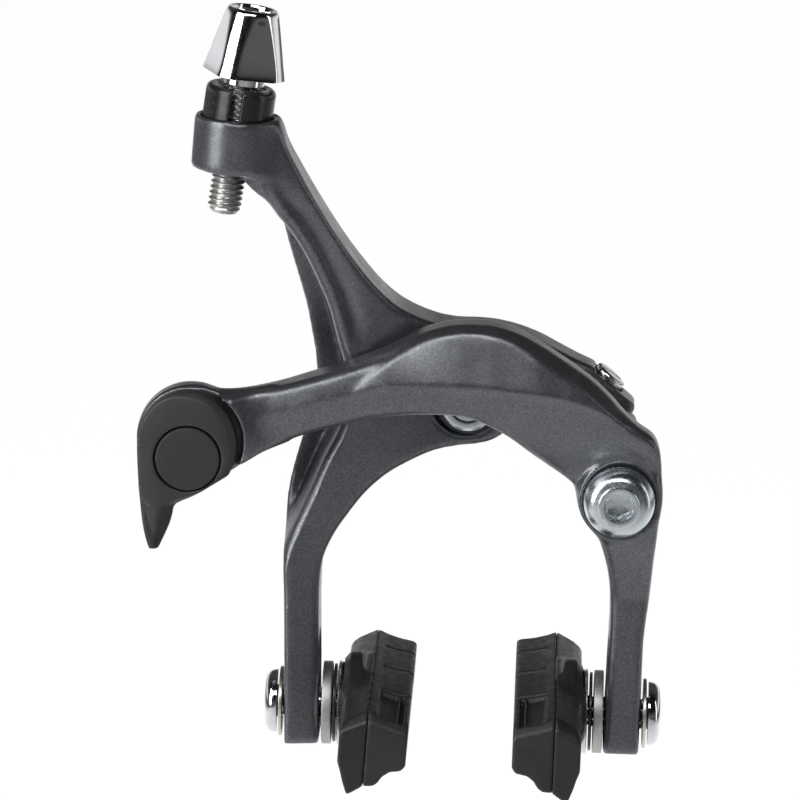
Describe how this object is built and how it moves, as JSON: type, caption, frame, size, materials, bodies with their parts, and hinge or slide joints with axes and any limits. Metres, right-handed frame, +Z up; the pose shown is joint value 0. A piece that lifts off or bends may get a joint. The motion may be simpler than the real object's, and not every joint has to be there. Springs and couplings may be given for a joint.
{
  "type": "rim brake caliper",
  "caption": "Dual-pivot side-pull rim brake caliper with barrel adjuster, quick-release cable anchor and two curved brake shoes.",
  "frame": {"origin": "on the crown bolt's axis, at the serrated washer's rear face, which meets the fork", "axes": "+Y back along the crown bolt through the fork, +X to the right seen from the front, +Z up"},
  "size_m": [0.0951, 0.0626, 0.1371],
  "materials": {
    "arm_paint": "satin metallic flake",
    "lever_paint": "fine matt",
    "chrome_plate": "polished",
    "zinc_plate": "bright zinc",
    "steel": "satin",
    "nickel_plate": "satin",
    "black_nylon": "gloss",
    "black_plastic": "matt",
    "brake_rubber": "matt"
  },
  "bodies": {
    "bridge": {"bridge_plate": "zinc_plate", "crown_bolt": "zinc_plate", "crown_nut": "zinc_plate", "serrated_washer": "steel", "dust_washer": "black_nylon", "hub_thrust_washer": "black_nylon", "hub_bushing": "steel", "side_pivot_bolt": "zinc_plate", "side_bushing": "steel", "side_thrust_washer": "black_nylon", "return_spring": "steel"},
    "y_arm": {"y_arm": "arm_paint", "adjuster_bushing": "black_nylon", "left_spring_sleeve": "black_nylon"},
    "c_arm": {"c_arm": "arm_paint", "right_spring_sleeve": "black_nylon"},
    "adjuster_knob": {"adjuster_knob": "chrome_plate"},
    "adjuster_bolt": {"adjuster_bolt": "steel"},
    "centring_screw": {"centring_screw": "steel"},
    "qr_lever": {"qr_lever": "lever_paint"},
    "cable_anchor": {"cable_anchor_stud": "lever_paint", "cable_clamp_plate": "steel", "cable_clamp_nut": "zinc_plate"},
    "left_shoe_bolt": {"left_shoe_bolt": "chrome_plate", "left_outer_washer": "nickel_plate", "left_wide_washer": "steel", "left_rubber_washer": "black_nylon"},
    "left_shoe": {"left_shoe_holder": "black_plastic", "left_brake_rubber": "brake_rubber", "left_dished_washer": "zinc_plate"},
    "right_shoe_bolt": {"right_shoe_bolt": "chrome_plate", "right_outer_washer": "nickel_plate", "right_wide_washer": "steel", "right_rubber_washer": "black_nylon"},
    "right_shoe": {"right_shoe_holder": "black_plastic", "right_brake_rubber": "brake_rubber", "right_dished_washer": "zinc_plate"}
  },
  "joints": [
    {"name": "y_arm_pivot", "type": "hinge", "parent": "bridge", "child": "y_arm", "pos_m": [0, -0.014, 0], "axis": [0, -1, 0], "range_deg": [0, 8], "stiffness_Nm_per_rad": 1.6, "springref_deg": -11.46, "deforming": ["return_spring"]},
    {"name": "c_arm_pivot", "type": "hinge", "parent": "bridge", "child": "c_arm", "pos_m": [0.0274, -0.0198, -0.0149], "axis": [0, 1, 0], "range_deg": [0, 11], "stiffness_Nm_per_rad": 0.8, "springref_deg": -15.47},
    {"name": "adjuster_turn", "type": "hinge", "parent": "y_arm", "child": "adjuster_knob", "pos_m": [-0.04039, -0.025, 0.0641], "axis": [0.1236, 0, 0.9923], "range_deg": [0, 2150]},
    {"name": "adjuster_travel", "type": "slide", "parent": "y_arm", "child": "adjuster_bolt", "axis": [0.1236, 0, 0.9923], "range_m": [0, 0.006]},
    {"name": "centring_screw_turn", "type": "hinge", "parent": "y_arm", "child": "centring_screw", "pos_m": [0.0244, -0.0142, 0.003], "axis": [-0.6428, 0, -0.766], "range_deg": [-360, 360]},
    {"name": "qr_lever_swing", "type": "hinge", "parent": "c_arm", "child": "qr_lever", "pos_m": [-0.0487, -0.033, -0.0057], "axis": [0, 1, 0], "range_deg": [0, 110]},
    {"name": "cable_anchor_swivel", "type": "hinge", "parent": "qr_lever", "child": "cable_anchor", "pos_m": [-0.049, -0.03, -0.0085], "axis": [0, 1, 0], "range_deg": [-110, 0]},
    {"name": "left_shoe_height", "type": "slide", "parent": "y_arm", "child": "left_shoe_bolt", "axis": [0, 0, 1], "range_m": [0, 0.01]},
    {"name": "left_shoe_tilt", "type": "hinge", "parent": "left_shoe_bolt", "child": "left_shoe", "pos_m": [-0.02135, -0.02, -0.057], "axis": [1, 0, 0], "range_deg": [-12, 12]},
    {"name": "right_shoe_height", "type": "slide", "parent": "c_arm", "child": "right_shoe_bolt", "axis": [0, 0, 1], "range_m": [0, 0.01]},
    {"name": "right_shoe_tilt", "type": "hinge", "parent": "right_shoe_bolt", "child": "right_shoe", "pos_m": [0.02265, -0.02, -0.057], "axis": [1, 0, 0], "range_deg": [-12, 12]}
  ],
  "couplings": [
    {"joint": "c_arm_pivot", "follows": "y_arm_pivot", "ratio": 1.36},
    {"joint": "adjuster_travel", "follows": "adjuster_turn", "m_per_rad": 0.00015915},
    {"joint": "cable_anchor_swivel", "follows": "qr_lever_swing", "ratio": -1}
  ]
}
